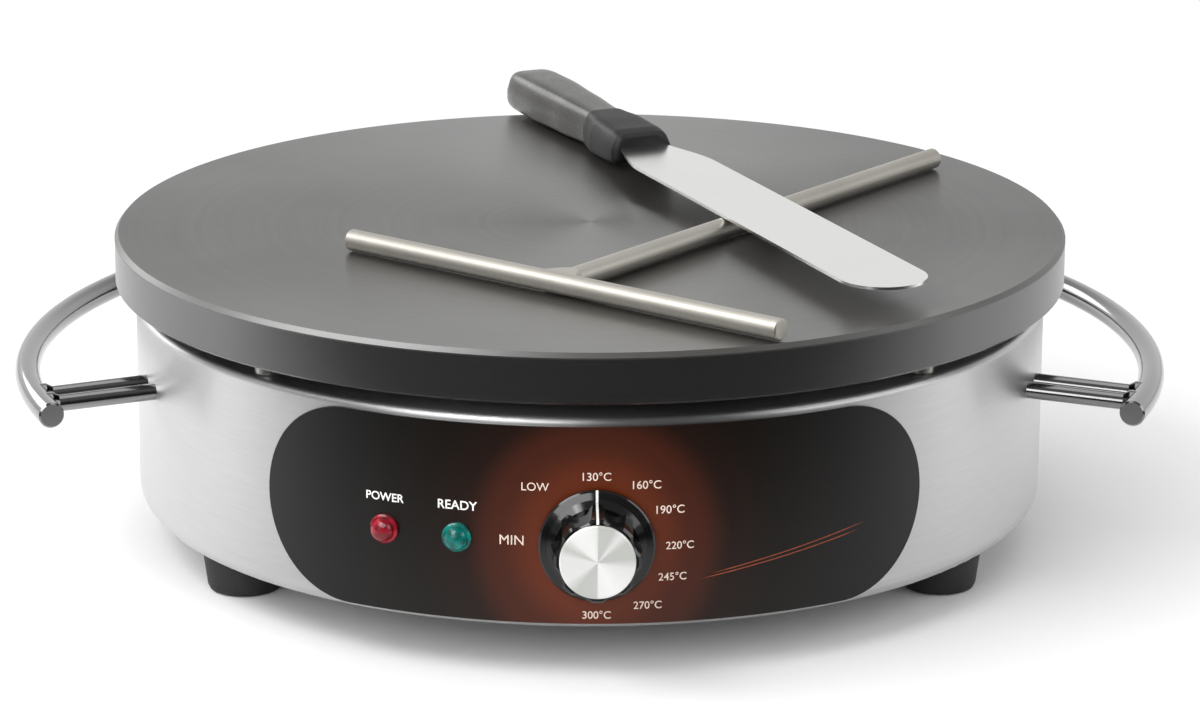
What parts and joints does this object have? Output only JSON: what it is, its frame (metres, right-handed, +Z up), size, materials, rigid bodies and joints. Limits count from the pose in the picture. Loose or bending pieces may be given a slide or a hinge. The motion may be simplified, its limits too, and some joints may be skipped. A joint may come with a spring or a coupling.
{
  "type": "crepe maker",
  "caption": "Electric crepe maker: round cast plate on a low brushed drum with bent rod side handles, a front dial and lamps, with rake spreader and spatula.",
  "frame": {"origin": "on the floor under the axis of the round cooking plate, which is also the middle of the overall box", "axes": "+Z up; -Y out of the control panel; +X to the right of someone who stands in front of the panel"},
  "size_m": [0.4938, 0.4393, 0.1556],
  "materials": {
    "cast_plate": "machined, seasoned grey",
    "element_sheath": "heat-tinted sheath",
    "bright_zinc": "zinc-plated",
    "aluminised_sheet": "aluminised sheet",
    "fibre_blanket": "matted fibre",
    "brushed_drum": "fine horizontal brushing",
    "black_rubber": "matte",
    "polished_rod": "polished",
    "panel_film": "satin film, black fading to burnt orange",
    "black_knob": "glossy",
    "spun_disc": "spun",
    "cream_ceramic": "unglazed",
    "brass_parts": "turned",
    "copper_tube": null,
    "red_lens": "translucent",
    "green_lens": "translucent",
    "white_plastic": "moulded",
    "wire_sleeve": "woven sleeve",
    "black_nylon": "moulded",
    "spreader_steel": "satin",
    "blade_steel": "mirror-ground",
    "grip_plastic": "satin moulded",
    "bolster_plastic": "smooth moulded"
  },
  "bodies": {
    "base": {"base_plate": "bright_zinc", "base_screws": "bright_zinc", "body_shell": "brushed_drum", "bulb_clips": "bright_zinc", "bushing_nut": "brass_parts", "cable_gland": "black_nylon", "capillary_tube": "copper_tube", "clamp_nuts": "bright_zinc", "clamp_studs": "bright_zinc", "control_panel": "panel_film", "cooking_plate": "cast_plate", "earth_nut": "brass_parts", "earth_stud": "brass_parts", "element_clamp": "bright_zinc", "element_terminals": "bright_zinc", "foot_front_left": "black_rubber", "foot_front_right": "black_rubber", "foot_nuts": "bright_zinc", "foot_rear": "black_rubber", "foot_screws": "bright_zinc", "foot_washers": "bright_zinc", "gland_cap": "black_nylon", "gland_locknut": "black_nylon", "handle_left_bar": "polished_rod", "handle_left_posts": "polished_rod", "handle_nuts": "bright_zinc", "handle_pads": "bright_zinc", "handle_right_bar": "polished_rod", "handle_right_posts": "polished_rod", "heat_reflector": "aluminised_sheet", "heat_shield": "aluminised_sheet", "heating_element_inner": "element_sheath", "heating_element_outer": "element_sheath", "insulation_blanket": "fibre_blanket", "internal_wires": "wire_sleeve", "lamp_bodies": "white_plastic", "lamp_nuts": "bright_zinc", "limit_thermostat": "cream_ceramic", "plate_screws": "bright_zinc", "plate_standoffs": "bright_zinc", "power_lamp_lens": "red_lens", "ready_lamp_lens": "green_lens", "sensing_bulb": "copper_tube", "shield_nuts": "bright_zinc", "stud_spacers": "bright_zinc", "terminal_block": "cream_ceramic", "thermostat_body": "cream_ceramic", "thermostat_bracket": "bright_zinc"},
    "knob": {"thermostat_knob": "black_knob", "knob_cap": "spun_disc", "thermostat_shaft": "bright_zinc"},
    "spreader": {"spreader_bar": "spreader_steel", "spreader_stem": "spreader_steel"},
    "spatula": {"spatula_blade": "blade_steel", "spatula_handle": "grip_plastic", "spatula_bolster": "bolster_plastic"}
  },
  "joints": [
    {"name": "knob_turn", "type": "hinge", "parent": "base", "child": "knob", "pos_m": [0, -0.2, 0.0557], "axis": [0, 1, 0], "range_deg": [-90, 180]},
    {"name": "spreader_lift", "type": "slide", "parent": "base", "child": "spreader", "axis": [0, 0, 1], "range_m": [0, 0.15]},
    {"name": "spatula_lift", "type": "slide", "parent": "spreader", "child": "spatula", "axis": [0, 0, 1], "range_m": [0, 0.15]}
  ]
}
